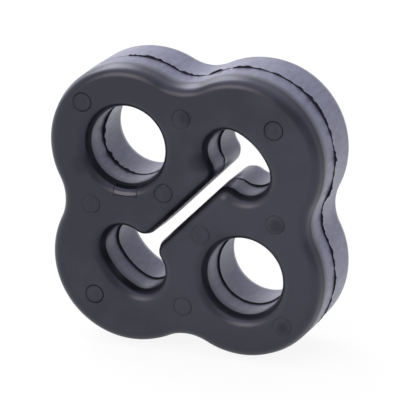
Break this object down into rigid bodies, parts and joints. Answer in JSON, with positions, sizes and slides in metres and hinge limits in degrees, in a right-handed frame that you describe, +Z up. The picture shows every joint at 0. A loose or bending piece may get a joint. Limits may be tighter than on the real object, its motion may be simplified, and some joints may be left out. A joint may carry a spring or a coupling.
{
  "type": "exhaust hanger rubber",
  "caption": "Lobed rubber block with round pin holes and a diagonal slot with widened ends, for hanging an exhaust pipe under a car.",
  "frame": {"origin": "middle of the block: halfway between the front and back faces, where the two diagonals cross", "axes": "+Y from the marked front face to the plain back face, +Z up with the block standing on its two lower lobes, +X to the right seen from the front"},
  "size_m": [0.0602, 0.021, 0.0602],
  "materials": {
    "moulded_rubber": "satin moulded, dark blue-grey"
  },
  "bodies": {
    "root": {"hanger_rubber": "moulded_rubber"}
  },
  "joints": []
}
